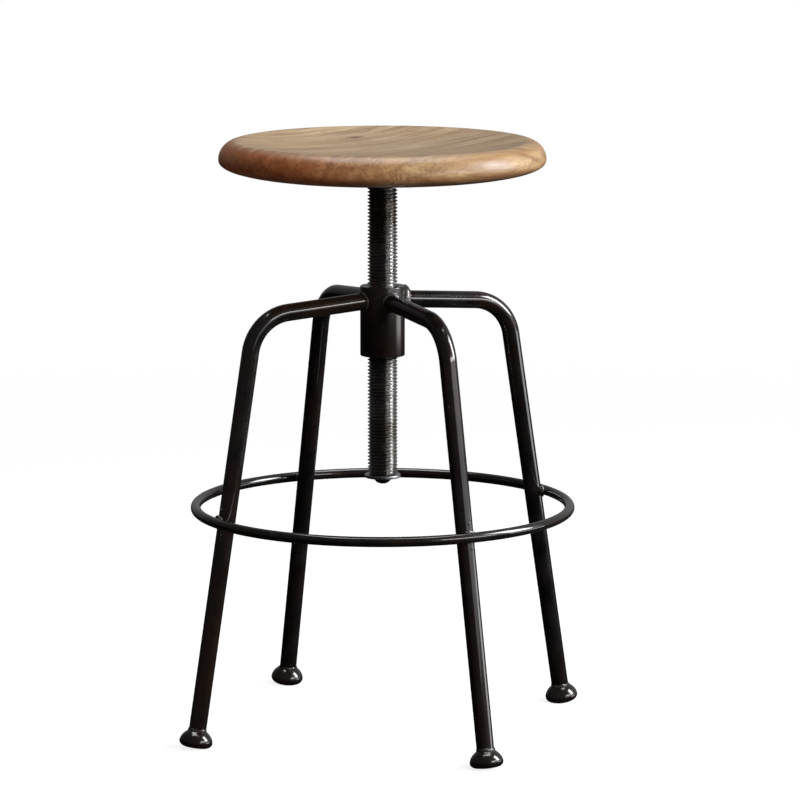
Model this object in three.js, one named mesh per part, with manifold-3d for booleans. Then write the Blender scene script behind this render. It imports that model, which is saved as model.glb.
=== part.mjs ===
// Adjustable swivel stool: a turned wooden seat on a threaded spindle that screws up and down in
// a hub, carried by four bent pipe legs tied together by a round footrest ring.
// Millimetres, +Z up. The origin is on the floor, on the spindle's axis. The legs stand on the
// diagonals of X and Y.

import * as THREE from 'three';
import { mergeVertices } from 'three/addons/utils/BufferGeometryUtils.js';
import Module from 'manifold-3d';

const wasm = await Module();
wasm.setup();

// ---- driving dimensions ----
const GAP = 0.3; // clearance left where two pieces touch
const PAST = 5; // how far a cutting tool runs past the faces it cuts

const HUB = { radius: 22.25, bore: 15.3, bottom: 377.2, top: 447.2, chamfer: 1.2 };

const PIPE = { radius: 8.65, bore: 6.35 };
const LEG = {
  count: 4,
  firstAzimuth: 45, // degrees
  armHeight: 432.5, // centreline height where the arm meets the hub
  armSlope: 4.2, // degrees below level
  bendRadius: 44.6, // of the centreline
  splay: 9.7, // degrees outward from the vertical
  footRadius: 211, // where the splayed leg's axis meets the floor
  lean: 1.45, // degrees that the leg is rolled to one side about its arm
};

const FOOT = {
  radius: 16.5,
  widest: 6.3, // height of the widest section over the foot's lowest centre point
  shoulder: 12.4, // half height of the ball above the widest section
  sole: 10, // radius where the domed sole meets the rounded edge
  domeRadius: 50, // of the sole
  worn: 0.5, // depth ground off the sole where it stands on the floor
  spigot: 6.0, // radius of the plug inside the pipe
  spigotLength: 14,
};

const RING = { bar: 5, height: 224.2, standoff: 0.6 }; // standoff: gap that the welds bridge

const SEAT = {
  radius: 162.5,
  widest: 573.8, // height of the edge's widest line
  edge: 18.3, // radius of the rounded upper edge
  below: 16.5, // from the widest line down to the flat underside
  flat: 75, // radius of the flat underside
  fullness: 2.5, // exponent of the lower edge's curve
  dish: 9, // depth of the dished top
  dishCurve: 2.4, // exponent of the dished top
};

const THREAD = { radius: 15, pitch: 3.5 }; // M30 coarse
const SPINDLE = { bottom: 257.1, chamfer: 1.8, spigot: 10, tapDepth: 24 };

const PLATE = { radius: 50, thickness: 4.5 };
const WOOD_SCREW = {
  count: 6,
  circle: 36, // radius of the circle that the screws stand on
  shank: 2.25,
  head: 4.5,
  headHeight: 2.5,
  length: 20,
};

const WASHER = { radius: 18, hole: 4.5, thickness: 3 };
const STOP_SCREW = { shank: 4, head: 8, headHeight: 6.4, shankLength: 22 };

// ---- sides of the round pieces ----
const SIDES = { seat: 60, hub: 40, pipe: 16, ring: 64, bar: 12, foot: 20, small: 24, screw: 12 };
const BEND_STEPS = 10;

// ---- heights worked out from the dimensions above ----
const SEAT_BOTTOM = SEAT.widest - SEAT.below;
const PLATE_TOP = SEAT_BOTTOM - GAP;
const PLATE_BOTTOM = PLATE_TOP - PLATE.thickness;
const WASHER_TOP = SPINDLE.bottom - GAP;
const WASHER_BOTTOM = WASHER_TOP - WASHER.thickness;
const HEAD_TOP = WASHER_BOTTOM - GAP;

const radians = THREE.MathUtils.degToRad;

// ---- materials ----
function finish(color, roughness, metalness) {
  return new THREE.MeshStandardMaterial({ color, roughness, metalness });
}

const WOOD = { color: 0xb07d4c, roughness: 0.45, metalness: 0 };
const LACQUERED_STEEL = { color: 0x1c1715, roughness: 0.25, metalness: 0.9 };
const OILED_STEEL = { color: 0x3a3633, roughness: 0.35, metalness: 1 };
const ZINC = { color: 0xb9b9b6, roughness: 0.3, metalness: 1 };

// ---- solids and cuts ----
function toSolid(geometry) {
  const bare = geometry.clone();
  bare.deleteAttribute('normal');
  bare.deleteAttribute('uv');
  const merged = mergeVertices(bare, 1e-4);
  const index = merged.index.array;
  const corners = [];
  for (let i = 0; i < index.length; i += 3) {
    const [a, b, c] = [index[i], index[i + 1], index[i + 2]];
    if (a !== b && b !== c && c !== a) {
      corners.push(a, b, c);
    }
  }
  const mesh = new wasm.Mesh({
    numProp: 3,
    vertProperties: new Float32Array(merged.attributes.position.array),
    triVerts: new Uint32Array(corners),
  });
  return new wasm.Manifold(mesh);
}

function toGeometry(solid) {
  const mesh = solid.getMesh();
  const geometry = new THREE.BufferGeometry();
  geometry.setAttribute('position', new THREE.BufferAttribute(mesh.vertProperties, 3));
  geometry.setIndex(new THREE.BufferAttribute(mesh.triVerts, 1));
  return geometry;
}

function cut(geometry, tools) {
  let solid = toSolid(geometry);
  for (const tool of tools) {
    solid = solid.subtract(toSolid(tool));
  }
  return toGeometry(solid);
}

// A solid turned about Z from an outline of [radius, height] points, going up the outside.
function turned(outline, sides) {
  const points = outline.map(([radius, height]) => new THREE.Vector2(radius, height));
  return new THREE.LatheGeometry(points, sides).rotateX(Math.PI / 2);
}

function cylinder(radius, bottom, top, sides) {
  const geometry = new THREE.CylinderGeometry(radius, radius, top - bottom, sides);
  return geometry.rotateX(Math.PI / 2).translate(0, 0, (bottom + top) / 2);
}

// Points of a quarter superellipse between two angles in degrees; exponent 2 is an ellipse.
function arcPoints({ centre, axes, from, to, steps, exponent = 2 }) {
  const points = [];
  for (let i = 0; i <= steps; i += 1) {
    const angle = radians(from + ((to - from) * i) / steps);
    const across = Math.sign(Math.cos(angle)) * Math.abs(Math.cos(angle)) ** (2 / exponent);
    const up = Math.sign(Math.sin(angle)) * Math.abs(Math.sin(angle)) ** (2 / exponent);
    points.push([centre[0] + axes[0] * across, centre[1] + axes[1] * up]);
  }
  return points;
}

function piece(name, geometry, { color, roughness, metalness }) {
  const mesh = new THREE.Mesh(geometry, finish(color, roughness, metalness));
  mesh.name = name;
  return mesh;
}

// ---- seat ----
function seatOutline() {
  const crest = SEAT.radius - SEAT.edge;
  const rim = SEAT.widest + SEAT.edge;
  const steps = 6;
  const lower = arcPoints({
    centre: [SEAT.flat, SEAT.widest],
    axes: [SEAT.radius - SEAT.flat, SEAT.below],
    from: -90,
    to: 0,
    steps: 8,
    exponent: SEAT.fullness,
  });
  const upper = arcPoints({
    centre: [crest, SEAT.widest],
    axes: [SEAT.edge, SEAT.edge],
    from: 0,
    to: 90,
    steps,
  });
  const dish = [];
  for (let i = steps - 1; i >= 0; i -= 1) {
    const share = i / steps;
    dish.push([crest * share, rim - SEAT.dish * (1 - share ** SEAT.dishCurve)]);
  }
  return [[0, SEAT_BOTTOM], ...lower, ...upper.slice(1), ...dish];
}

function screwPlaces() {
  const places = [];
  for (let i = 0; i < WOOD_SCREW.count; i += 1) {
    const azimuth = (2 * Math.PI * i) / WOOD_SCREW.count;
    places.push([WOOD_SCREW.circle * Math.cos(azimuth), WOOD_SCREW.circle * Math.sin(azimuth)]);
  }
  return places;
}

function makeSeat() {
  const top = PLATE_BOTTOM + WOOD_SCREW.length + GAP;
  const pilots = screwPlaces().map(([x, y]) =>
    cylinder(WOOD_SCREW.shank + GAP, SEAT_BOTTOM - PAST, top, SIDES.screw).translate(x, y, 0),
  );
  return piece('seat', cut(turned(seatOutline(), SIDES.seat), pilots), WOOD);
}

// ---- plate and wood screws under the seat ----
function countersunkOutline(head, shank, bottom, top) {
  return [
    [0, bottom],
    [head, bottom],
    [shank, bottom + WOOD_SCREW.headHeight],
    [shank, top],
    [0, top],
  ];
}

function makeSeatPlate() {
  const disc = cylinder(PLATE.radius, PLATE_BOTTOM, PLATE_TOP, SIDES.hub);
  const centre = cylinder(SPINDLE.spigot + GAP, PLATE_BOTTOM - PAST, PLATE_TOP + PAST, SIDES.small);
  // each hole follows its screw's cone, a little wider all round
  const widened = 2 * GAP;
  const holes = screwPlaces().map(([x, y]) => {
    const cone = turned(
      countersunkOutline(
        WOOD_SCREW.head + widened,
        WOOD_SCREW.shank + widened,
        PLATE_BOTTOM,
        PLATE_TOP + PAST,
      ),
      SIDES.screw,
    );
    return cone.translate(x, y, 0);
  });
  return piece('seat_plate', cut(disc, [centre, ...holes]), LACQUERED_STEEL);
}

function makeWoodScrew(number, [x, y]) {
  const outline = countersunkOutline(
    WOOD_SCREW.head,
    WOOD_SCREW.shank,
    PLATE_BOTTOM,
    PLATE_BOTTOM + WOOD_SCREW.length,
  );
  const screw = piece(`seat_screw_${number}`, turned(outline, SIDES.screw), ZINC);
  screw.position.set(x, y, 0);
  return screw;
}

// ---- spindle and its stop ----
function makeSpindle() {
  const { bottom, chamfer, spigot } = SPINDLE;
  const shoulder = PLATE_BOTTOM - GAP;
  const outline = [
    [0, bottom],
    [THREAD.radius - chamfer, bottom],
    [THREAD.radius, bottom + chamfer],
    [THREAD.radius, shoulder],
    [spigot, shoulder],
    [spigot, PLATE_TOP],
    [0, PLATE_TOP],
  ];
  const tapped = cylinder(STOP_SCREW.shank + GAP, bottom - PAST, bottom + SPINDLE.tapDepth, SIDES.screw);
  return piece('spindle', cut(turned(outline, SIDES.hub), [tapped]), OILED_STEEL);
}

function makeStopWasher() {
  const outline = [
    [WASHER.hole, WASHER_BOTTOM],
    [WASHER.radius, WASHER_BOTTOM],
    [WASHER.radius, WASHER_TOP],
    [WASHER.hole, WASHER_TOP],
    [WASHER.hole, WASHER_BOTTOM],
  ];
  return piece('stop_washer', turned(outline, SIDES.small), ZINC);
}

function makeStopScrew() {
  const { head, headHeight, shank, shankLength } = STOP_SCREW;
  const rim = 1.5; // straight side of the head, over its dome
  const dome = arcPoints({
    centre: [0, HEAD_TOP - rim],
    axes: [head, headHeight - rim],
    from: -90,
    to: 0,
    steps: 5,
  });
  const top = WASHER_TOP + shankLength;
  const outline = [...dome, [head, HEAD_TOP], [shank, HEAD_TOP], [shank, top], [0, top]];
  return piece('stop_screw', turned(outline, SIDES.small), LACQUERED_STEEL);
}

// ---- hub ----
function makeHub() {
  const { radius, bore, bottom, top, chamfer } = HUB;
  const outline = [
    [bore, bottom + chamfer],
    [bore + chamfer, bottom],
    [radius - chamfer, bottom],
    [radius, bottom + chamfer],
    [radius, top - chamfer],
    [radius - chamfer, top],
    [bore + chamfer, top],
    [bore, top - chamfer],
    [bore, bottom + chamfer],
  ];
  return piece('hub', turned(outline, SIDES.hub), LACQUERED_STEEL);
}

// ---- legs ----
// The arm runs outward along +X and down a little. The leg's axis leaves it at a corner, which the
// bend rounds off.
const ARM_AXIS = new THREE.Vector3(1, 0, -Math.tan(radians(LEG.armSlope))).normalize();
const ARM_START = new THREE.Vector3(HUB.radius, 0, LEG.armHeight);
const LEG_AXIS = new THREE.Vector3(Math.tan(radians(LEG.splay)), 0, -1)
  .normalize()
  .applyAxisAngle(ARM_AXIS, radians(LEG.lean));

function legCorner() {
  const fall = Math.tan(radians(LEG.armSlope));
  const spread = Math.tan(radians(LEG.splay));
  const height = (LEG.armHeight - fall * (LEG.footRadius - HUB.radius)) / (1 - fall * spread);
  return new THREE.Vector3(LEG.footRadius - spread * height, 0, height);
}

function onLegAxis(distance) {
  return legCorner().addScaledVector(LEG_AXIS, distance);
}

function distanceToHeight(height) {
  return (legCorner().z - height) / -LEG_AXIS.z;
}

// The domed sole is part of a ball, and the floor's plane grinds its lowest point flat.
const SOLE_DISTANCE = distanceToHeight(FOOT.domeRadius - FOOT.worn) + FOOT.domeRadius;

// Height over the sole, along the leg's axis, at which the ball of the foot meets the pipe.
const NECK = FOOT.widest + FOOT.shoulder * Math.sqrt(1 - (PIPE.radius / FOOT.radius) ** 2);

// A pipe's centreline: a straight stretch, one round bend and a straight stretch. Equal steps along
// it give one step to each straight stretch and all the others to the bend.
class BentPath extends THREE.Curve {
  constructor({ start, corner, end, radius }) {
    super();
    this.start = start;
    this.end = end;
    this.radius = radius;
    this.into = corner.clone().sub(start).normalize();
    this.outOf = end.clone().sub(corner).normalize();
    this.inward = this.outOf.clone().addScaledVector(this.into, -this.outOf.dot(this.into)).normalize();
    this.angle = this.into.angleTo(this.outOf);
    this.bendStart = corner.clone().addScaledVector(this.into, -radius * Math.tan(this.angle / 2));
    this.steps = BEND_STEPS + 2;
  }

  getUtoTmapping(share) {
    return share;
  }

  turnAt(share) {
    return THREE.MathUtils.clamp((share * this.steps - 1) / BEND_STEPS, 0, 1) * this.angle;
  }

  onBend(turn) {
    return this.bendStart
      .clone()
      .addScaledVector(this.into, this.radius * Math.sin(turn))
      .addScaledVector(this.inward, this.radius * (1 - Math.cos(turn)));
  }

  getPoint(share, target = new THREE.Vector3()) {
    const step = share * this.steps;
    target.copy(this.onBend(this.turnAt(share)));
    if (step < 1) {
      target.lerp(this.start, 1 - step);
    } else if (step > this.steps - 1) {
      target.lerp(this.end, step - this.steps + 1);
    }
    return target;
  }

  getTangent(share, target = new THREE.Vector3()) {
    const turn = this.turnAt(share);
    return target
      .copy(this.into)
      .multiplyScalar(Math.cos(turn))
      .addScaledVector(this.inward, Math.sin(turn));
  }
}

function legPath() {
  return new BentPath({
    start: ARM_START.clone().addScaledVector(ARM_AXIS, -PIPE.radius),
    corner: legCorner(),
    end: onLegAxis(SOLE_DISTANCE - NECK - GAP),
    radius: LEG.bendRadius,
  });
}

function makeLegShape() {
  const section = new THREE.Shape().absarc(0, 0, PIPE.radius, 0, 2 * Math.PI);
  section.holes.push(new THREE.Path().absarc(0, 0, PIPE.bore, 0, 2 * Math.PI, true));
  const path = legPath();
  const pipe = new THREE.ExtrudeGeometry(section, {
    extrudePath: path,
    steps: path.steps,
    curveSegments: SIDES.pipe / 2,
  });
  const saddle = cylinder(HUB.radius + GAP, HUB.bottom - PAST, HUB.top + PAST, SIDES.hub);
  return cut(pipe, [saddle]);
}

// ---- feet ----
function makeFootShape() {
  const dome = arcPoints({
    centre: [0, FOOT.domeRadius],
    axes: [FOOT.domeRadius, FOOT.domeRadius],
    from: -90,
    to: -90 + THREE.MathUtils.radToDeg(Math.asin(FOOT.sole / FOOT.domeRadius)),
    steps: 1,
  });
  const soleEdge = dome[dome.length - 1][1];
  const edge = arcPoints({
    centre: [FOOT.sole, FOOT.widest],
    axes: [FOOT.radius - FOOT.sole, FOOT.widest - soleEdge],
    from: -90,
    to: 0,
    steps: 4,
  });
  const ball = arcPoints({
    centre: [0, FOOT.widest],
    axes: [FOOT.radius, FOOT.shoulder],
    from: 0,
    to: THREE.MathUtils.radToDeg(Math.acos(PIPE.radius / FOOT.radius)),
    steps: 4,
  });
  const top = NECK + FOOT.spigotLength;
  const spigot = [[FOOT.spigot, NECK], [FOOT.spigot, top], [0, top]];
  const outline = [...dome, ...edge.slice(1), ...ball.slice(1), ...spigot];
  const tilt = new THREE.Quaternion().setFromUnitVectors(
    new THREE.Vector3(0, 0, 1),
    LEG_AXIS.clone().negate(),
  );
  const sole = onLegAxis(SOLE_DISTANCE);
  const foot = turned(outline, SIDES.foot).applyQuaternion(tilt).translate(sole.x, sole.y, sole.z);
  const size = 4 * FOOT.radius;
  const floor = new THREE.BoxGeometry(size, size, size).translate(sole.x, sole.y, -size / 2);
  return cut(foot, [floor]);
}

// ---- footrest ring ----
// The ring lies against the outside of the legs, measured square to a leg's axis.
function makeRing() {
  const beside = onLegAxis(distanceToHeight(RING.height)).setZ(0);
  const outward = beside.clone().normalize();
  const along = new THREE.Vector3(-outward.y, outward.x, 0);
  const square = along.cross(LEG_AXIS).normalize();
  const apart = (PIPE.radius + RING.bar + RING.standoff) / Math.abs(outward.dot(square));
  const ring = new THREE.TorusGeometry(beside.length() + apart, RING.bar, SIDES.bar, SIDES.ring);
  return piece('footrest_ring', ring.translate(0, 0, RING.height), LACQUERED_STEEL);
}

// ---- assembly ----
const stool = new THREE.Group();
stool.name = 'adjustable_stool';

const frame = new THREE.Group();
frame.add(makeHub(), makeRing());
const legShape = makeLegShape();
const footShape = makeFootShape();
for (let i = 0; i < LEG.count; i += 1) {
  const corner = new THREE.Group();
  corner.rotation.z = radians(LEG.firstAzimuth + (360 * i) / LEG.count);
  corner.add(piece(`leg_${i + 1}`, legShape, LACQUERED_STEEL));
  corner.add(piece(`foot_${i + 1}`, footShape, LACQUERED_STEEL));
  frame.add(corner);
}

const turning = new THREE.Group();
turning.add(makeSeat(), makeSeatPlate(), makeSpindle(), makeStopScrew());
screwPlaces().forEach((place, i) => turning.add(makeWoodScrew(i + 1, place)));

stool.add(frame, makeStopWasher(), turning);

export default stool;
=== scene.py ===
"""Looks for the adjustable swivel stool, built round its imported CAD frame. Metres, +Z up."""

import math

import bpy
from mathutils import Matrix, Vector, noise


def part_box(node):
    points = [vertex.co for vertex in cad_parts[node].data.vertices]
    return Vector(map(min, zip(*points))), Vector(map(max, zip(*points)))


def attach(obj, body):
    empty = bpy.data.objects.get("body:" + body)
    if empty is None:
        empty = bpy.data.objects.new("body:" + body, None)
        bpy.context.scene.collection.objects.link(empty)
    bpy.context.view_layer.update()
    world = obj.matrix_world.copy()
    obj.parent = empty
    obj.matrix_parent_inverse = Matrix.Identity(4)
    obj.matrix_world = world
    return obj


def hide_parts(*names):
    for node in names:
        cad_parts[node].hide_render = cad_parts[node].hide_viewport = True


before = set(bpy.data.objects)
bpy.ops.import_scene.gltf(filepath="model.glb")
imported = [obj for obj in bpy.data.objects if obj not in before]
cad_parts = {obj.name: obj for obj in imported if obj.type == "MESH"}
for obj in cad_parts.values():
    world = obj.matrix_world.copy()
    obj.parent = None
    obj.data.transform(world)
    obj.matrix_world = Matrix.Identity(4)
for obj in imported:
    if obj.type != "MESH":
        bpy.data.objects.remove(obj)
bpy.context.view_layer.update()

MM = 0.001
UP = Vector((0, 0, 1))

# ---- driving dimensions ----
GAP = 0.3 * MM  # between pieces that lie against each other

HUB_BORE = 15.3 * MM
HUB_EDGE = 0.9 * MM
INTO_WALL = 0.35  # share of the hub's wall that each arm runs into

PIPE_RADIUS = 8.65 * MM
LEGS = 4
FIRST_AZIMUTH = math.radians(45)
ARM_HEIGHT = 432.5 * MM  # centreline where the arm meets the hub
ARM_SLOPE = math.radians(4.2)  # below level
BEND_RADIUS = 44.6 * MM
SPLAY = math.radians(9.7)  # of the leg, outward from the vertical
FOOT_SPREAD = 211 * MM  # radius where the leg's axis meets the floor
LEAN = math.radians(1.45)  # roll of the leg about its arm

FOOT_RADIUS = 16.5 * MM
FOOT_WIDEST = 6.3 * MM  # height of the widest section over the lowest point
FOOT_SHOULDER = 13.8 * MM  # half height of the ball above its widest section
FOOT_TAPER = 1.8  # exponent of the shoulder's curve: below 2 it is straighter than a ball's
SOLE_RADIUS = 10 * MM
SOLE_DOME = 50 * MM  # radius of the domed sole
SOLE_WEAR = 0.5 * MM

RING_BAR = 5 * MM  # radius of the footrest's bar

ARM_WELDS = (6.0 * MM, 3.0 * MM, 1.5 * MM, 1.3 * MM)  # radius of each arm's bead of weld
ARM_WELD_PROUD = 0.5 * MM  # of the pipe and of the hub
RING_WELD = 2.0 * MM
RING_WELD_REACH = (5.6 * MM, 4.6 * MM)  # half width and half height of the bead's loop
RING_WELD_WRAP = 0.75  # how closely the loop follows the pipe's roundness
NECK_WELD = 3.0 * MM
NECK_WELD_SUNK = 2.2 * MM  # under the pipe's skin
NECK_WELD_LIFT = 0.4 * MM  # over the foot's end
ARM_RIPPLES, RING_RIPPLES, NECK_RIPPLES = 14, 13, 7  # round each bead
RIPPLE_DEPTH = 0.08  # share of a bead's radius
UNEVENNESS = 0.28  # the same
# How far up the leg from the footrest each drop of spatter lies, and its radius.
SPATTER = ((12.5 * MM, 1.3 * MM), (-12.5 * MM, 1.1 * MM), (17 * MM, 0.7 * MM), (-19 * MM, 0.6 * MM))
SPATTER_LUMPS = 0.3  # share of a drop's radius

SEAT_EDGE = 18.3 * MM  # from the dish's crest out to the widest line
SEAT_BELOW = 16.5 * MM  # from the widest line down to the flat underside
SEAT_FLAT = 75 * MM  # radius of the flat underside
SEAT_FULLNESS = 2.5  # exponent of the lower edge's curve
DISH_DEPTH = 9 * MM
DISH_CURVE = 2.4
SANDING = 0.5 * MM  # mean depth that hand sanding takes off the rim's lower edge
SANDED_UPPER = 0.25  # share of it at the widest line and above

PITCH = 3.5 * MM
THREAD_DEPTH = 2.3 * MM
THREAD_CHAMFER = 1.8 * MM
SPIGOT_RADIUS = 10 * MM  # spindle's end inside the plate
TAPPED = (4.3 * MM, 24 * MM)  # radius and depth of the hole for the stop screw

PLATE_EDGE = 0.8 * MM
WASHER_BORE = 4.5 * MM
WASHER_EDGE = 0.5 * MM

SCREWS = 6
SCREW_SHANK = 2.25 * MM
SCREW_CONE = 2.5 * MM  # height from the head's face to the shank
SCREW_POINT = 4 * MM
SCREW_EDGE = 0.25 * MM
RECESS = (0.55, 0.5 * MM, 0.35 * MM)  # share of the head's radius, half width, depth

STOP_SHANK = 4 * MM
STOP_RIM = 1.5 * MM  # height of the head's upright rim
STOP_EDGE = 0.3 * MM
SOCKET = (2.9 * MM, 2.6 * MM)  # radius over the corners, depth
SOCKET_MOUTH = 0.35 * MM  # how far up the dome its walls begin

# ---- the view ----
VIEW_AZIMUTH = math.radians(19.25)
VIEW_DISTANCE = 4.3395  # level distance from the spindle's axis
VIEW_HEIGHT = 1.0439
VIEW_YAW = math.radians(0.230)  # the camera's turn to the right of the axis
VIEW_PITCH = math.radians(9.3195)  # below level
VIEW_LENS = 198.19
RIGHT = Vector((math.cos(VIEW_AZIMUTH), math.sin(VIEW_AZIMUTH), 0))
NEAR = Vector((math.sin(VIEW_AZIMUTH), -math.cos(VIEW_AZIMUTH), 0))  # towards the camera


# ---- meshes ----
def make_object(name, vertices, faces, crease=40):
    """An object of that mesh, smooth except over edges sharper than crease degrees."""
    mesh = bpy.data.meshes.new(name)
    mesh.from_pydata([tuple(v) for v in vertices], [], faces)
    mesh.validate()
    mesh.shade_smooth()
    mesh.set_sharp_from_angle(angle=math.radians(crease))
    item = bpy.data.objects.new(name, mesh)
    bpy.context.scene.collection.objects.link(item)
    return item


def wrapped_faces(rows, sides, closed=False):
    """Quads between rows of points that each go once round; closed joins the last row to the first."""
    faces = []
    for row in range(rows if closed else rows - 1):
        low, high = row * sides, ((row + 1) % rows) * sides
        for i in range(sides):
            j = (i + 1) % sides
            faces.append((low + i, low + j, high + j, high + i))
    return faces


def capped(rows):
    """Vertices and faces of a closed skin over rows of points, with a flat cap at each end."""
    sides = len(rows[0])
    vertices = [p for row in rows for p in row]
    last = (len(rows) - 1) * sides
    faces = wrapped_faces(len(rows), sides)
    faces.append(tuple(reversed(range(sides))))
    faces.append(tuple(range(last, last + sides)))
    return vertices, faces


def merged(parts):
    """Several (vertices, faces) skins as one."""
    vertices, faces = [], []
    for more_vertices, more_faces in parts:
        start = len(vertices)
        vertices += more_vertices
        faces += [tuple(start + i for i in face) for face in more_faces]
    return vertices, faces


def circle_row(radius, height, sides):
    step = 2 * math.pi / sides
    return [
        Vector((radius * math.cos(i * step), radius * math.sin(i * step), height))
        for i in range(sides)
    ]


def turned(outline, sides):
    """A skin turned about Z from (radius, height) points, going up the outside."""
    return capped([circle_row(radius, height, sides) for radius, height in outline])


def turned_loop(outline, sides):
    """A skin turned about Z from a closed outline, as a washer's."""
    rows = [circle_row(radius, height, sides) for radius, height in outline]
    return [p for row in rows for p in row], wrapped_faces(len(rows), sides, closed=True)


def arc(centre, axes, start, stop, steps, exponent=2.0):
    """Points of a superellipse between two angles in degrees; exponent 2 is an ellipse."""
    points = []
    for i in range(steps + 1):
        angle = math.radians(start + (stop - start) * i / steps)
        across = math.copysign(abs(math.cos(angle)) ** (2 / exponent), math.cos(angle))
        up = math.copysign(abs(math.sin(angle)) ** (2 / exponent), math.sin(angle))
        points.append((centre[0] + axes[0] * across, centre[1] + axes[1] * up))
    return points


def rounded_loop(inner, outer, bottom, top, rounding, steps=4):
    """The closed outline of a tube's wall with rounded corners."""
    corners = [
        (inner + rounding, bottom + rounding, 180, 270),
        (outer - rounding, bottom + rounding, 270, 360),
        (outer - rounding, top - rounding, 0, 90),
        (inner + rounding, top - rounding, 90, 180),
    ]
    axes = (rounding, rounding)
    outline = []
    for across, height, start, stop in corners:
        outline += arc((across, height), axes, start, stop, steps)
    return outline


def swept_rows(path, radius_at, sides, closed=False):
    """Rows of points round a path; radius_at(share of the way, angle round) gives each radius."""
    count = len(path)
    rows, side = [], None
    for i, point in enumerate(path):
        ahead = path[(i + 1) % count] if closed else path[min(i + 1, count - 1)]
        behind = path[i - 1] if closed or i else path[0]
        along = (ahead - behind).normalized()
        side = along.orthogonal() if side is None else side
        side = (side - along * side.dot(along)).normalized()
        across = along.cross(side)
        row = []
        for j in range(sides):
            angle = 2 * math.pi * j / sides
            radius = radius_at(i / count, angle)
            row.append(point + (side * math.cos(angle) + across * math.sin(angle)) * radius)
        rows.append(row)
    return rows


def weld_bead(path, radius, ripples, seed, sides=10):
    """A closed bead of weld along a loop: even ripples, with a slow unevenness over them."""

    def radius_at(share, angle):
        turn = 2 * math.pi * share
        ripple = RIPPLE_DEPTH * abs(math.sin(ripples * turn / 2))
        drift = noise.noise(Vector((2 * math.cos(turn) + seed, 2 * math.sin(turn), angle / 4)))
        return radius * (1 - RIPPLE_DEPTH + ripple + UNEVENNESS * drift)

    rows = swept_rows(path, radius_at, sides, closed=True)
    vertices = [p for row in rows for p in row]
    faces = wrapped_faces(len(rows), sides)
    last = (len(rows) - 1) * sides
    # The rows come back turned about the path, so the last joins the first with a shift.
    shift = min(range(sides), key=lambda k: (rows[-1][0] - rows[0][k]).length)
    for i in range(sides):
        j = (i + 1) % sides
        faces.append((last + i, last + j, (j + shift) % sides, (i + shift) % sides))
    return vertices, faces


def dot_of_metal(centre, radius, seed, sides=8, rings=4):
    """A small lumpy drop, as weld spatter leaves."""
    rows = []
    for k in range(rings):
        angle = math.pi * (k + 0.5) / rings
        row = circle_row(radius * math.sin(angle), -radius * math.cos(angle), sides)
        lumps = [noise.noise(p / radius + Vector((seed, 0, 0))) for p in row]
        rows.append([centre + p * (1 + SPATTER_LUMPS * lump) for p, lump in zip(row, lumps)])
    return capped(rows)


def moved(skin, matrix):
    vertices, faces = skin
    return [matrix @ v for v in vertices], faces


def add_piece(name, skin, body, material, replaced=(), crease=40):
    """Makes a visible piece that rides on a body and stands for CAD nodes."""
    item = make_object(name, *skin, crease=crease)
    item.data.materials.append(material)
    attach(item, body)
    if replaced:
        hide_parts(*replaced)


# ---- leg geometry, for a leg whose arm runs along +X ----
ARM_AXIS = Vector((1, 0, -math.tan(ARM_SLOPE))).normalized()
LEG_AXIS = Matrix.Rotation(LEAN, 3, ARM_AXIS) @ Vector((math.tan(SPLAY), 0, -1)).normalized()
HUB_LOW, HUB_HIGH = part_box("hub")
HUB_RADIUS = HUB_HIGH.x
ARM_START = Vector((HUB_RADIUS, 0, ARM_HEIGHT))


def leg_corner():
    """Where the axes of the arm and the leg meet."""
    fall, spread = math.tan(ARM_SLOPE), math.tan(SPLAY)
    height = (ARM_HEIGHT - fall * (FOOT_SPREAD - HUB_RADIUS)) / (1 - fall * spread)
    return Vector((FOOT_SPREAD - spread * height, 0, height))


CORNER = leg_corner()


def distance_to_height(height):
    return (CORNER.z - height) / -LEG_AXIS.z


SOLE_DISTANCE = distance_to_height(SOLE_DOME - SOLE_WEAR) + SOLE_DOME
NECK_SHARE = (PIPE_RADIUS / FOOT_RADIUS) ** FOOT_TAPER
NECK = FOOT_WIDEST + FOOT_SHOULDER * (1 - NECK_SHARE) ** (1 / FOOT_TAPER)


def on_leg_axis(distance):
    return CORNER + LEG_AXIS * distance


def leg_turn(i):
    return Matrix.Rotation(FIRST_AZIMUTH + 2 * math.pi * i / LEGS, 4, "Z")


def leg_path(bend_steps=28, straight_steps=6):
    """The pipe's centreline, from inside the hub's wall to the top of the foot."""
    inward = (LEG_AXIS - ARM_AXIS * LEG_AXIS.dot(ARM_AXIS)).normalized()
    angle = ARM_AXIS.angle(LEG_AXIS)
    setback = BEND_RADIUS * math.tan(angle / 2)
    bend_start = CORNER - ARM_AXIS * setback
    start = ARM_START - ARM_AXIS * (HUB_RADIUS - HUB_BORE) * INTO_WALL
    end = on_leg_axis(SOLE_DISTANCE - NECK)
    bend_end = CORNER + LEG_AXIS * setback
    path = [start.lerp(bend_start, k / straight_steps) for k in range(straight_steps)]
    for k in range(bend_steps + 1):
        turn = angle * k / bend_steps
        along = ARM_AXIS * BEND_RADIUS * math.sin(turn)
        path.append(bend_start + along + inward * BEND_RADIUS * (1 - math.cos(turn)))
    path += [bend_end.lerp(end, (k + 1) / straight_steps) for k in range(straight_steps)]
    return path


def arm_weld_path(steps=80):
    """The line where the arm's surface meets the hub's."""
    side = UP.cross(ARM_AXIS).normalized()
    top = ARM_AXIS.cross(side)
    path = []
    for k in range(steps):
        angle = 2 * math.pi * k / steps
        spoke = side * math.cos(angle) + top * math.sin(angle)
        around = spoke * (PIPE_RADIUS + ARM_WELD_PROUD)
        reach = math.sqrt((HUB_RADIUS + ARM_WELD_PROUD) ** 2 - around.y**2)
        path.append(ARM_START + around + ARM_AXIS * (reach - HUB_RADIUS) / ARM_AXIS.x)
    return path


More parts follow.
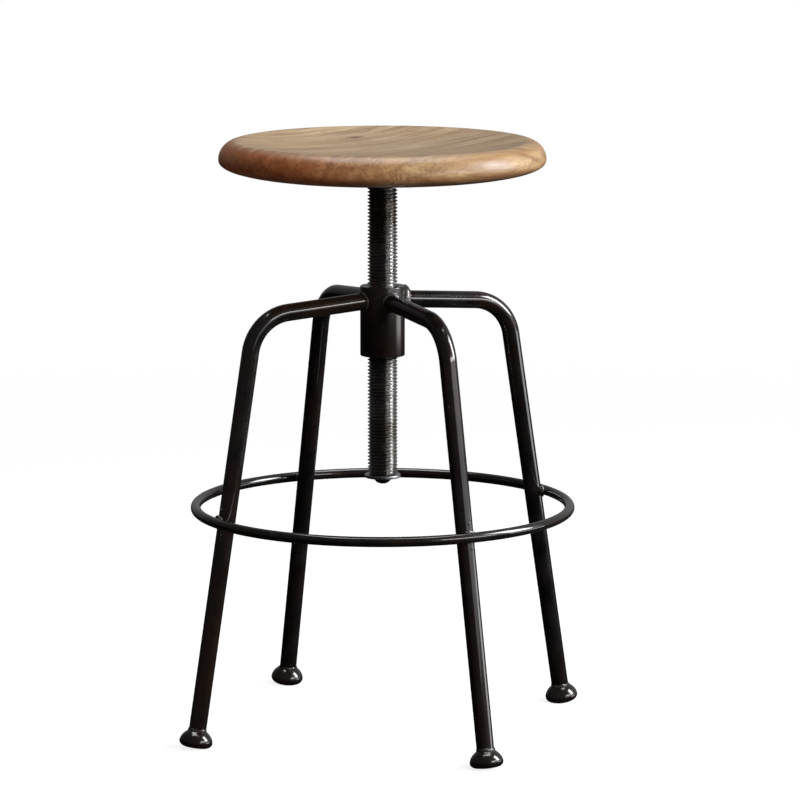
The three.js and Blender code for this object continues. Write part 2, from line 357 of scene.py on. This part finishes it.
# ---- materials ----
class Nodes:
    """Makes and links the nodes of one material or world."""

    def __init__(self, tree):
        self.nodes = tree.nodes
        self.links = tree.links

    def put(self, value, socket):
        """Links an output to the socket, or gives it a constant."""
        if isinstance(value, bpy.types.NodeSocket):
            self.links.new(value, socket)
        else:
            socket.default_value = value

    def node(self, kind, inputs=None, **properties):
        made = self.nodes.new(kind)
        for label, value in properties.items():
            setattr(made, label, value)
        for label, value in (inputs or {}).items():
            self.put(value, made.inputs[label])
        return made

    def math(self, operation, first, second=0.0, third=0.0):
        values = {0: first, 1: second, 2: third}
        return self.node("ShaderNodeMath", values, operation=operation).outputs[0]

    def hypotenuse(self, first, second):
        squares = [self.math("POWER", side, 2.0) for side in (first, second)]
        return self.math("SQRT", self.math("ADD", *squares))

    def vector_math(self, operation, first, second=(0, 0, 0)):
        values = {0: first, 1: second}
        return self.node("ShaderNodeVectorMath", values, operation=operation).outputs["Value"]

    def ranged(self, value, start, stop, low=0.0, high=1.0):
        values = {"Value": value, "From Min": start, "From Max": stop, "To Min": low, "To Max": high}
        return self.node("ShaderNodeMapRange", values).outputs["Result"]


class Shader(Nodes):
    """A material's nodes, with its Principled surface ready to be fed."""

    def __init__(self, name, **constants):
        self.material = bpy.data.materials.new(name)
        self.material.use_nodes = True
        super().__init__(self.material.node_tree)
        self.surface = self.nodes["Principled BSDF"]
        self.coordinates = self.node("ShaderNodeTexCoord").outputs["Object"]
        for label, value in constants.items():
            title = label.replace("_", " ").title().replace("Ior", "IOR")
            self.surface.inputs[title].default_value = value

    def noise(self, scale, detail=3.0, vector=None, roughness=0.55):
        place = {"Vector": vector or self.coordinates}
        place.update({"Scale": scale, "Detail": detail, "Roughness": roughness})
        return self.node("ShaderNodeTexNoise", place).outputs["Fac"]

    def scaled(self, scale, vector=None):
        values = {"Vector": vector or self.coordinates, "Scale": scale}
        return self.node("ShaderNodeMapping", values).outputs["Vector"]

    def blend(self, factor, first, second, how="MIX"):
        values = {0: factor, 6: first, 7: second}
        return self.node("ShaderNodeMix", values, data_type="RGBA", blend_type=how).outputs[2]

    def tinted(self, factor, tone, tint):
        """The tone, multiplied by a tint where the factor is 1."""
        return self.blend(factor, tone, self.blend(1.0, tone, tint, "MULTIPLY"))

    def feed(self, label, value):
        self.put(value, self.surface.inputs[label])

    def bump(self, height, distance, strength=1.0):
        values = {"Height": height, "Distance": distance, "Strength": strength}
        self.feed("Normal", self.node("ShaderNodeBump", values).outputs["Normal"])


def colour(red, green, blue):
    return (red, green, blue, 1.0)


def lacquered_steel(name, gloss=0.05):
    """Blackened steel under clear lacquer: near black, mottled brown, with a few light nicks."""
    black, charcoal = colour(0.007, 0.007, 0.007), colour(0.021, 0.019, 0.019)
    brown, bare = colour(0.026, 0.014, 0.010), colour(0.12, 0.115, 0.11)
    shader = Shader(name, metallic=0.6, coat_weight=1.0, coat_roughness=gloss, coat_ior=1.65)
    cloud = shader.ranged(shader.noise(38, 4), 0.38, 0.66)
    red_brown = shader.ranged(shader.noise(11, 5, roughness=0.7), 0.42, 0.66)
    nick = shader.ranged(shader.noise(240, 2), 0.75, 0.77)
    tone = shader.blend(red_brown, shader.blend(cloud, black, charcoal), brown)
    shader.feed("Base Color", shader.blend(nick, tone, bare))
    shader.feed("Roughness", shader.ranged(shader.noise(60, 3), 0.3, 0.7, 0.18, 0.30))
    shader.bump(shader.noise(130, 3), 0.05 * MM, 0.15)
    return shader.material


def welded_steel():
    """Weld metal under the same lacquer: rougher, grey with patches of brown heat tint."""
    grey, heat_tint = colour(0.080, 0.078, 0.076), colour(0.040, 0.028, 0.023)
    shader = Shader("welded_steel", metallic=0.6, coat_weight=1.0, coat_roughness=0.09, coat_ior=1.6)
    heat = shader.ranged(shader.noise(120, 3), 0.4, 0.62)
    shader.feed("Base Color", shader.blend(heat, grey, heat_tint))
    shader.feed("Roughness", shader.ranged(shader.noise(420, 2), 0.3, 0.7, 0.3, 0.5))
    shader.bump(shader.noise(600, 3), 0.15 * MM, 0.6)
    return shader.material


def oiled_steel():
    """The screw thread: grey machined steel with dark grease drawn along it in bands."""
    worn_steel, bright_steel = colour(0.33, 0.32, 0.315), colour(0.50, 0.485, 0.48)
    thick_grease, thin_grease = colour(0.18, 0.168, 0.155), colour(0.29, 0.26, 0.235)
    shader = Shader("oiled_steel", metallic=1.0, coat_weight=0.4, coat_roughness=0.12, coat_ior=1.5)
    band = shader.noise(16, 3, shader.scaled((0.35, 0.35, 1.0)))
    film = shader.ranged(shader.noise(120, 3), 0.35, 0.7)
    steel = shader.blend(film, worn_steel, bright_steel)
    grease = shader.blend(film, thick_grease, thin_grease)
    shader.feed("Base Color", shader.blend(shader.ranged(band, 0.44, 0.58), steel, grease))
    shader.feed("Roughness", shader.ranged(shader.noise(90, 2), 0.3, 0.7, 0.16, 0.3))
    shader.bump(shader.noise(700, 2), 0.02 * MM, 0.15)
    return shader.material


def zinc_steel():
    """Bright zinc plate, dulled and spangled."""
    bright, dull = colour(0.70, 0.71, 0.73), colour(0.46, 0.47, 0.48)
    shader = Shader("zinc_steel", metallic=1.0)
    spangle = shader.node("ShaderNodeTexVoronoi", {"Vector": shader.coordinates, "Scale": 420})
    dulled = shader.ranged(shader.noise(150, 3), 0.4, 0.7)
    shader.feed("Base Color", shader.blend(dulled, bright, dull))
    shader.feed("Roughness", shader.ranged(spangle.outputs["Distance"], 0.0, 0.8, 0.2, 0.42))
    shader.bump(shader.noise(900, 3), 0.03 * MM, 0.4)
    return shader.material


# ---- oak; stretches are noise scales along the grain, across it and in height ----
GRAIN_AZIMUTH = VIEW_AZIMUTH + math.radians(42)  # direction that the seat's grain runs in
PITH = (0.10, 0.47)  # where the tree's centre lay, across the grain and in height
RING_SPACING = 3.4 * MM
BOARD_HALF = 0.16  # half width of the board
KNOT = RIGHT * -0.028 - NEAR * 0.086
KNOT_STRETCH = 0.6  # a step along the grain counts as this much of one across it
KNOT_HEART = (0.002, 0.0085)  # radii where its dark heart starts to fade and ends
KNOT_SWIRL = 0.022  # radius within which the rings bend round it
SHADED_SIDE = NEAR * 0.34 - RIGHT * 0.94  # the rim's front-left, away from the key light, where shade is painted
SCUFF = RIGHT * 0.016 + NEAR * 0.148 + UP * 0.5585  # middle of a few nicks low on the rim
SCUFF_RADII = (0.004, 0.028)  # where the nicks start to thin out and end


def oak():
    """Varnished oak cut as one wide board: growth rings, fibres, pores and a small knot."""
    shader = Shader("oak", coat_weight=0.35, coat_roughness=0.30, coat_ior=1.5)
    unturned = {"Vector": shader.coordinates, "Rotation": (0, 0, -GRAIN_AZIMUTH)}
    along = shader.node("ShaderNodeMapping", unturned).outputs["Vector"]
    place = shader.node("ShaderNodeSeparateXYZ", {"Vector": along}).outputs
    knot = knot_distance(shader, place)
    fibre = stretched(shader, along, (14.0, 620.0, 620.0), 4, 0.65)
    pore = shader.ranged(stretched(shader, along, (60.0, 1500.0, 1500.0), 2), 0.6, 0.72)
    heart = shader.ranged(knot, *KNOT_HEART, 0.8, 0.0)
    nicks = scuffed(shader)
    pore_tone, heart_tone = colour(0.11, 0.045, 0.02), colour(0.10, 0.035, 0.018)
    bare_wood = colour(0.66, 0.47, 0.29)
    tone = grain_tone(shader, along, late_wood(shader, along, place, knot), fibre)
    tone = shader.blend(shader.math("MULTIPLY", pore, 0.55), tone, pore_tone)
    tone = toned_and_shaded(shader, shader.blend(heart, tone, heart_tone), place)
    tone = shader.blend(shader.math("MULTIPLY", nicks, 0.75), tone, bare_wood)
    shader.feed("Base Color", tone)
    shader.feed("Roughness", shader.ranged(shader.noise(26, 4), 0.3, 0.7, 0.36, 0.50))
    relief = shader.math("MULTIPLY_ADD", pore, -1.0, shader.math("MULTIPLY", fibre, 0.5))
    shader.bump(shader.math("MULTIPLY_ADD", nicks, -1.5, relief), 0.12 * MM, 0.45)
    return shader.material


def stretched(shader, along, stretch, detail, roughness=0.55):
    """Noise drawn out along the grain."""
    return shader.noise(1.0, detail, shader.scaled(stretch, along), roughness)


def knot_distance(shader, place):
    knot = Matrix.Rotation(-GRAIN_AZIMUTH, 3, "Z") @ KNOT
    x = shader.math("MULTIPLY", shader.math("SUBTRACT", place["X"], knot.x), KNOT_STRETCH)
    return shader.hypotenuse(x, shader.math("SUBTRACT", place["Y"], knot.y))


def late_wood(shader, along, place, knot):
    """How far each growth ring has darkened: wavering circles round the pith, bent by the knot."""
    across = shader.math("SUBTRACT", place["Y"], PITH[0])
    deep = shader.math("SUBTRACT", place["Z"], PITH[1])
    drift = stretched(shader, along, (5.0, 14.0, 22.0), 3)
    waver = stretched(shader, along, (18.0, 60.0, 60.0), 2)
    swirl = shader.ranged(knot, 0.0, KNOT_SWIRL, 1.0, 0.0)
    radius = shader.hypotenuse(across, deep)
    for bend, reach in ((drift, 0.045), (waver, 0.0022), (swirl, 0.016)):
        radius = shader.math("MULTIPLY_ADD", bend, reach, radius)
    ring = shader.math("FRACT", shader.math("DIVIDE", radius, RING_SPACING))
    return shader.math("POWER", ring, 2.2)


def grain_tone(shader, along, late, fibre):
    """The board's own tone: rings, fibres, broad streaks and brown patches."""
    pale, dark = colour(0.50, 0.375, 0.225), colour(0.155, 0.080, 0.038)
    brown = colour(0.28, 0.150, 0.066)
    streak = shader.ranged(stretched(shader, along, (7.0, 120.0, 150.0), 3, 0.6), 0.36, 0.64)
    patch = shader.ranged(stretched(shader, along, (5.0, 48.0, 48.0), 3), 0.42, 0.60)
    shade = shader.math("MULTIPLY", shader.ranged(fibre, 0.3, 0.7), 0.30)
    shade = shader.math("MULTIPLY_ADD", late, 0.20, shade)
    shade = shader.math("MULTIPLY_ADD", streak, 0.56, shade)
    tone = shader.blend(shade, pale, dark)
    return shader.blend(shader.math("MULTIPLY", patch, 0.45), tone, brown)


def toned_and_shaded(shader, tone, place):
    """The tone lighter and greyer towards one side of the board and darker towards the other, warmer
    on the rim, and with painted shade: a redder, darker tint on the rim's front-left, away from the
    key light, and towards the underside.
    """
    low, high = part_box("seat")
    darker, lighter = colour(0.80, 0.79, 0.80), colour(1.22, 1.25, 1.28)
    # the second tint here is the colour of the painted shade
    warmth, red_brown = colour(1.04, 0.96, 0.80), colour(0.90, 0.47, 0.29)
    crest, all_rim = high.x - SEAT_EDGE, high.x - 0.35 * SEAT_EDGE
    # lighter and greyer towards one side of the board, darker towards the other
    side = shader.blend(shader.ranged(place["Y"], -BOARD_HALF, BOARD_HALF), darker, lighter)
    tone = shader.blend(1.0, tone, side, "MULTIPLY")
    from_axis = shader.vector_math("LENGTH", shader.scaled((1.0, 1.0, 0.0)))
    on_rim = shader.ranged(from_axis, crest, all_rim)
    tone = shader.tinted(on_rim, tone, warmth)
    towards_shaded_side = shader.vector_math("DOT_PRODUCT", shader.coordinates, SHADED_SIDE)
    underside_shade = shader.ranged(place["Z"], low.z + SEAT_BELOW, low.z, 0.0, 0.8)
    # painted shade: redder and darker on the rim's front-left, away from the key light, and towards
    # the underside
    red = shader.math("MULTIPLY_ADD", shader.ranged(towards_shaded_side, 0.03, 0.14), on_rim, underside_shade)
    return shader.tinted(shader.math("MINIMUM", red, 0.95), tone, red_brown)


def scuffed(shader):
    """Where the few nicks round SCUFF are."""
    away = shader.vector_math("DISTANCE", shader.coordinates, SCUFF)
    nick = shader.noise(1.0, 2, shader.scaled((480.0, 480.0, 260.0)))
    near = shader.ranged(away, *SCUFF_RADII, 1.0, 0.0)
    return shader.math("MULTIPLY", shader.ranged(nick, 0.565, 0.60), near)


# ---- seat ----
def seat_skin(sides=192):
    low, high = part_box("seat")
    radius, bottom, rim = high.x, low.z, high.z
    widest = bottom + SEAT_BELOW
    crest = radius - SEAT_EDGE
    outline = [(SEAT_FLAT * share, bottom) for share in (0.02, 0.5, 0.9)]
    lower_axes = (radius - SEAT_FLAT, SEAT_BELOW)
    outline += arc((SEAT_FLAT, widest), lower_axes, -90, 0, 26, SEAT_FULLNESS)
    outline += arc((crest, widest), (SEAT_EDGE, rim - widest), 0, 90, 16)[1:]
    steps = 24
    for k in range(steps - 1, 0, -1):
        share = k / steps
        outline.append((crest * share, rim - DISH_DEPTH * (1 - share**DISH_CURVE)))
    vertices, faces = turned(outline, sides)
    return [worn(v, widest) for v in vertices], faces


def worn(point, widest):
    """Moves a point of the rim in by the uneven little that hand sanding takes off."""
    away = Vector((point.x, point.y, 0))
    if away.length < SEAT_FLAT:
        return point
    broad, fine = noise.noise(point * 22), noise.noise(point * 55)
    lower = min(max((widest - point.z) / SEAT_BELOW, 0.0), 1.0)
    depth = SANDING * (SANDED_UPPER + (1 - SANDED_UPPER) * lower)
    return point - away.normalized() * depth * (1 + broad + 0.5 * fine)


# ---- spindle ----
# Heights are shares of a pitch from the middle of the root; depths are shares of the thread's.
THREAD_FORM = ((0.0, 1.0), (0.08, 0.96), (0.44, 0.05), (0.5, 0.0), (0.56, 0.05), (0.92, 0.96))


def thread_skin(radius, bottom, shoulder, sides):
    """A right-hand screw thread, wound point by point, with a chamfered lower end."""
    root = radius - THREAD_DEPTH
    form = len(THREAD_FORM)
    count = form * (math.ceil((shoulder - bottom) / PITCH) + 2)
    vertices = []
    for k in range(count):
        share, depth = THREAD_FORM[k % form]
        for i in range(sides):
            turn = i / sides
            height = bottom + PITCH * (k // form + share + turn - 1)
            reach = radius - THREAD_DEPTH * depth
            if height < bottom or height > shoulder:
                reach = root
            height = min(max(height, bottom), shoulder)
            reach = min(reach, radius - THREAD_CHAMFER + (height - bottom))
            angle = 2 * math.pi * turn
            vertices.append(Vector((reach * math.cos(angle), reach * math.sin(angle), height)))
    return vertices, wound_faces(count, sides, form)


def wound_faces(count, sides, form):
    """Quads of a wound grid: past the last column, each row joins the one a turn above it."""
    faces = []
    for k in range(count - 1):
        for i in range(sides - 1):
            a = k * sides + i
            faces.append((a, a + 1, a + 1 + sides, a + sides))
        if k + form + 1 < count:
            a, b = k * sides + sides - 1, (k + form) * sides
            faces.append((a, b, b + sides, a + sides))
    return faces


def ring_face(inner, outer, height, sides):
    rows = [circle_row(inner, height, sides), circle_row(outer, height, sides)]
    return [p for row in rows for p in row], wrapped_faces(2, sides)


def spindle_skin(sides=64):
    """The threaded bar, with its spigot in the plate and the tapped hole in its lower end."""
    low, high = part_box("spindle")
    radius, bottom = high.x, low.z
    root = radius - THREAD_DEPTH
    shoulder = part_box("seat_plate")[0].z - GAP
    hole, depth = TAPPED
    return merged([
        thread_skin(radius, bottom, shoulder, sides),
        ring_face(root, SPIGOT_RADIUS, shoulder, sides),
        capped([circle_row(SPIGOT_RADIUS, z, sides) for z in (shoulder, high.z)]),
        ring_face(hole, root, bottom, sides),
        capped([circle_row(hole, z, sides) for z in (bottom + depth, bottom)]),
    ])


# ---- the pieces under the seat ----
def plate_skin(sides=96):
    low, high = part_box("seat_plate")
    return turned_loop(rounded_loop(SPIGOT_RADIUS, high.x, low.z, high.z, PLATE_EDGE), sides)


def washer_skin(sides=96):
    low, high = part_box("stop_washer")
    return turned_loop(rounded_loop(WASHER_BORE, high.x, low.z, high.z, WASHER_EDGE), sides)


def screw_place(node):
    """Where a screw of the seat stands, its head's radius and its lowest and highest points."""
    low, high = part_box(node)
    centre = (low + high) / 2
    return Matrix.Translation((centre.x, centre.y, 0)), (high.x - low.x) / 2, low.z, high.z


def screw_skin(node, sides=32):
    """A countersunk wood screw, head down, with a pointed end."""
    matrix, head, bottom, top = screw_place(node)
    dip, brim = head * 0.62, head * 0.9
    outline = [
        (dip, bottom + SCREW_EDGE),
        (brim, bottom),
        (head, bottom + SCREW_EDGE),
        (SCREW_SHANK, bottom + SCREW_CONE),
        (SCREW_SHANK, top - SCREW_POINT),
        (0.2 * MM, top),
    ]
    return moved(turned(outline, sides), matrix)


def recess_shade_skin(node):
    """The cross recess in a screw's head, drawn as two dark bars of painted shade rather than cut in.
    """
    matrix, head, bottom, _ = screw_place(node)
    share, half_width, depth = RECESS
    bars = []
    for turn in (0, math.pi / 2):
        bar = cross_bar(head * share, half_width, bottom, depth)
        bars.append(moved(bar, matrix @ Matrix.Rotation(turn, 4, "Z")))
    return merged(bars)


def cross_bar(half_length, half_width, face, depth):
    """A shallow box that stands a hair proud of the face, so that in dark steel it shows as a slot's
    painted shade.
    """
    proud = 0.02 * MM
    corners = ((-1, -1), (1, -1), (1, 1), (-1, 1))
    rows = []
    for height in (face - proud, face + depth):
        rows.append([Vector((half_length * x, half_width * y, height)) for x, y in corners])
    return capped(rows)


def hexagon_row(corner_radius, height, sides):
    """Points round a hexagon, at the same even turns as a circle's."""
    sector = math.pi / 3
    row = []
    for i, point in enumerate(circle_row(corner_radius, 0, sides)):
        turn = (2 * math.pi * i / sides) % sector - sector / 2
        row.append(point * math.cos(sector / 2) / math.cos(turn) + UP * height)
    return row


def stop_screw_skin(sides=64):
    """A button-headed screw, head down, with a hexagon socket."""
    low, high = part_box("stop_screw")
    head, bottom = high.x, low.z
    head_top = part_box("stop_washer")[0].z - GAP
    rim = head_top - STOP_RIM
    socket, depth = SOCKET
    rows = [hexagon_row(socket, bottom + height, sides) for height in (depth, SOCKET_MOUTH)]
    lip = socket * 1.2
    outline = [(r, z) for r, z in arc((0, rim), (head, rim - bottom), -90, 0, 20) if r > lip]
    outline += [(head, head_top - STOP_EDGE), (head - STOP_EDGE, head_top)]
    outline += [(STOP_SHANK, head_top), (STOP_SHANK, high.z)]
    return capped(rows + [circle_row(radius, height, sides) for radius, height in outline])


# ---- frame ----
def hub_skin(sides=128):
    return turned_loop(rounded_loop(HUB_BORE, HUB_RADIUS, HUB_LOW.z, HUB_HIGH.z, HUB_EDGE), sides)


def leg_skin(sides=48):
    return capped(swept_rows(leg_path(), lambda share, angle: PIPE_RADIUS, sides))


def foot_matrix():
    sole = on_leg_axis(SOLE_DISTANCE)
    return Matrix.Translation(sole) @ (-LEG_AXIS).to_track_quat("Z", "Y").to_matrix().to_4x4()


def foot_skin(sides=72):
    """A flattened ball in line with its leg, worn flat where it stands."""
    sweep = math.degrees(math.asin(SOLE_RADIUS / SOLE_DOME))
    dome = arc((0, SOLE_DOME), (SOLE_DOME, SOLE_DOME), -89, -90 + sweep, 6)
    lift = FOOT_WIDEST - dome[-1][1]
    outline = dome + arc((SOLE_RADIUS, FOOT_WIDEST), (FOOT_RADIUS - SOLE_RADIUS, lift), -90, 0, 12)[1:]
    end = math.degrees(math.acos(math.sqrt(NECK_SHARE)))
    outline += arc((0, FOOT_WIDEST), (FOOT_RADIUS, FOOT_SHOULDER), 0, end, 16, FOOT_TAPER)[1:]
    vertices, faces = moved(turned(outline, sides), foot_matrix())
    for v in vertices:
        v.z = max(v.z, 0.0)
    return vertices, faces


def neck_weld_skin(seed, steps=96):
    """The bead that joins the pipe's end to its foot."""
    path = circle_row(PIPE_RADIUS - NECK_WELD_SUNK, NECK + NECK_WELD_LIFT, steps)
    return moved(weld_bead(path, NECK_WELD, NECK_RIPPLES, seed, sides=16), foot_matrix())


def ring_radius():
    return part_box("footrest_ring")[1].x - RING_BAR


def ring_height():
    low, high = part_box("footrest_ring")
    return (low.z + high.z) / 2


def ring_skin(turns=256, sides=24):
    rows = []
    for i in range(turns):
        turn = Matrix.Rotation(2 * math.pi * i / turns, 3, "Z")
        section = arc((ring_radius(), ring_height()), (RING_BAR, RING_BAR), 0, 360, sides)[:-1]
        rows.append([turn @ Vector((radius, 0, height)) for radius, height in section])
    return [p for row in rows for p in row], wrapped_faces(turns, sides, closed=True)


def ring_weld_skin(seed, steps=56):
    """The bead round the spot where the ring lies against a leg, with a little spatter by it."""
    beside = on_leg_axis(distance_to_height(ring_height()))
    outward = Vector((beside.x, beside.y, 0)).normalized()
    along = UP.cross(outward)
    contact = outward * (ring_radius() - RING_BAR) + UP * ring_height()
    half_width, half_height = RING_WELD_REACH
    path = []
    for k in range(steps):
        angle = 2 * math.pi * k / steps
        across, up = half_width * math.cos(angle), half_height * math.sin(angle)
        fall = PIPE_RADIUS - math.sqrt(PIPE_RADIUS**2 - across**2)
        path.append(contact + along * across + UP * up - outward * fall * RING_WELD_WRAP)
    skins = [weld_bead(path, RING_WELD, RING_RIPPLES, seed)]
    aside, scatter = 0.25, 0.8
    for k, (reach, size) in enumerate(SPATTER):
        angle = aside + scatter * noise.noise(Vector((seed, k, 0.5)))
        spoke = (outward * math.cos(angle) + along * math.sin(angle)) * PIPE_RADIUS
        skins.append(dot_of_metal(beside - LEG_AXIS * reach + spoke, size, seed + k))
    return merged(skins)


def arm_weld_skin(radius, seed):
    """The bead round the foot of an arm, on the hub."""
    return weld_bead(arm_weld_path(), radius, ARM_RIPPLES, seed)


# ---- assembly ----
def build_seat_body(steel, zinc):
    body, slot = "seat_and_spindle", "lacquered_steel"
    add_piece("seat_top", seat_skin(), body, oak(), ["seat"], crease=60)
    add_piece("screw_thread", spindle_skin(), body, oiled_steel(), ["spindle"], crease=70)
    add_piece("mounting_plate", plate_skin(), body, steel, ["seat_plate"])
    add_piece("stop_screw_head", stop_screw_skin(), body, steel, ["stop_screw"])
    for i in range(1, SCREWS + 1):
        node = f"seat_screw_{i}"
        add_piece(f"wood_screw_{i}", screw_skin(node), body, zinc, [node])
        # dark bars as painted shade for each screw's recess
        add_piece(f"screw_recess_shade_{i}", recess_shade_skin(node), body, steel)


def build_washer(zinc):
    add_piece("washer", washer_skin(), "stop_washer", zinc, ["stop_washer"])


def build_frame(steel, weld):
    body, slot = "frame", "lacquered_steel"
    add_piece("hub_tube", hub_skin(), body, lacquered_steel("turned_steel", 0.21), ["hub"])
    add_piece("footrest", ring_skin(), body, steel, ["footrest_ring"])
    cast = lacquered_steel("cast_steel", 0.1)
    for i, arm_weld in enumerate(ARM_WELDS):
        number, turn = i + 1, leg_turn(i)
        add_piece(f"leg_pipe_{number}", moved(leg_skin(), turn), body, steel, [f"leg_{number}"])
        add_piece(f"foot_ball_{number}", moved(foot_skin(), turn), body, cast, [f"foot_{number}"])
        for name, skin in (
            ("arm_weld", arm_weld_skin(arm_weld, seed=3.1 * number)),
            ("ring_weld", ring_weld_skin(seed=5.3 * number)),
            ("foot_weld", neck_weld_skin(seed=7.7 * number)),
        ):
            add_piece(f"{name}_{number}", moved(skin, turn), body, weld, crease=80)


# ---- studio ----
AIM_HEIGHT = 0.35  # of the lights


def add_panel(name, direction, distance, size, power, tint=(1, 1, 1), mirrored=True):
    """A rectangular soft light that faces the middle of the stool; mirrored ones show in the metal."""
    light = bpy.data.lights.new(name, "AREA")
    light.shape = "RECTANGLE"
    light.size, light.size_y = size
    light.energy = power
    light.color = tint
    lamp = bpy.data.objects.new(name, light)
    right, near, up = direction
    towards = (RIGHT * right + NEAR * near + UP * up).normalized()
    lamp.location = UP * AIM_HEIGHT + towards * distance
    lamp.rotation_euler = (-towards).to_track_quat("-Z", "Y").to_euler()
    lamp.visible_glossy = mirrored
    bpy.context.scene.collection.objects.link(lamp)


def add_lights():
    daylight, cool, skylight = (0.97, 0.985, 1.0), (0.95, 0.98, 1.0), (0.93, 0.97, 1.0)
    warm, amber = (1.0, 0.95, 0.89), (1.0, 0.62, 0.46)
    add_panel("key_light", (0.89, 0.02, 0.45), 2.2, (0.8, 1.4), 47, daylight)
    add_panel("strip_light", (0.76, 0.59, 0.26), 2.4, (1.5, 0.28), 10)
    add_panel("side_light", (0.87, 0.5, 0.09), 2.4, (3.0, 0.55), 4, skylight)
    add_panel("low_light", (0.99, -0.05, -0.11), 2.3, (1.2, 0.35), 3.7, cool)
    add_panel("top_light", (0.0, -0.15, 1.0), 2.2, (1.6, 1.6), 34, cool)
    add_panel("front_fill", (0.62, 0.68, 0.40), 2.4, (1.2, 0.7), 50, warm, mirrored=False)
    add_panel("left_fill", (-0.62, 0.78, -0.04), 2.4, (1.2, 0.5), 5, amber, mirrored=False)


def add_surroundings():
    """White to look at; on the stool, a dim room that is brighter behind it and to the right."""
    world = bpy.data.worlds.new("surroundings")
    bpy.context.scene.world = world
    world.use_nodes = True
    world.node_tree.nodes.clear()
    sky = Nodes(world.node_tree)
    direction = sky.node("ShaderNodeTexCoord").outputs["Generated"]
    up = sky.node("ShaderNodeSeparateXYZ", {0: direction}).outputs["Z"]
    bright_side = (RIGHT * 0.72 - NEAR * 0.69).normalized()
    sideways = sky.vector_math("DOT_PRODUCT", direction, bright_side)
    brightness = sky.ranged(sideways, -0.2, 0.9, 0.045, 0.22)
    level = sky.ranged(up, -0.12, 0.08, 0.10, 1.0)
    bounce = sky.ranged(up, 0.1, -0.4, 0.0, 0.13)  # off the floor, left out of reflections
    rays = sky.node("ShaderNodeLightPath").outputs
    walls = sky.math("MULTIPLY", brightness, level)
    strength = sky.math("MULTIPLY_ADD", bounce, rays["Is Diffuse Ray"], walls)
    room = sky.node("ShaderNodeBackground", {"Color": colour(0.97, 0.98, 1.0), "Strength": strength})
    seen = sky.node("ShaderNodeBackground", {"Color": colour(1, 1, 1)})
    choice = {0: rays["Is Camera Ray"], 1: room.outputs[0], 2: seen.outputs[0]}
    mixed = sky.node("ShaderNodeMixShader", choice).outputs[0]
    sky.node("ShaderNodeOutputWorld", {"Surface": mixed})


def add_floor(radius=3.0, sides=96):
    """A pale floor that fades into the white round it, can't be seen from below or in the metal."""
    rows = [circle_row(radius * share, 0, sides) for share in (1, 0.75, 0.5, 0.25)]
    vertices = [p for row in rows for p in row]
    faces = wrapped_faces(len(rows), sides)
    faces.append(tuple(range(len(vertices) - sides, len(vertices))))
    floor = make_object("floor", vertices, faces)
    floor.visible_glossy = False
    floor.visible_diffuse = False
    floor.data.materials.append(pale_floor(fade_start=0.8, fade_end=radius * 0.8))


def pale_floor(fade_start, fade_end):
    shader = Shader("pale_floor", roughness=1.0, emission_strength=0.84)
    shader.feed("Specular IOR Level", 0.0)
    shader.feed("Base Color", colour(0.22, 0.22, 0.22))
    shader.feed("Emission Color", colour(1, 1, 1))
    away = shader.vector_math("LENGTH", shader.coordinates)
    faded = shader.ranged(away, fade_start, fade_end, 1.0, 0.0)
    below = shader.node("ShaderNodeNewGeometry").outputs["Backfacing"]
    shader.feed("Alpha", shader.math("MULTIPLY", faded, shader.math("SUBTRACT", 1.0, below)))
    return shader.material


def add_camera():
    camera = bpy.data.cameras.new("camera")
    camera.lens = VIEW_LENS
    camera.sensor_width = 36
    camera.clip_end = 50
    viewer = bpy.data.objects.new("camera", camera)
    viewer.location = NEAR * VIEW_DISTANCE + UP * VIEW_HEIGHT
    heading = VIEW_AZIMUTH - VIEW_YAW
    level = Vector((-math.sin(heading), math.cos(heading), 0))
    forward = level * math.cos(VIEW_PITCH) - UP * math.sin(VIEW_PITCH)
    viewer.rotation_euler = forward.to_track_quat("-Z", "Y").to_euler()
    bpy.context.scene.collection.objects.link(viewer)
    bpy.context.scene.camera = viewer


def main():
    steel = lacquered_steel("lacquered_steel")
    zinc = zinc_steel()
    build_seat_body(steel, zinc)
    build_washer(zinc)
    build_frame(steel, welded_steel())
    add_camera()
    add_lights()
    add_surroundings()
    add_floor()
    bpy.context.scene.view_settings.view_transform = "Standard"


main()
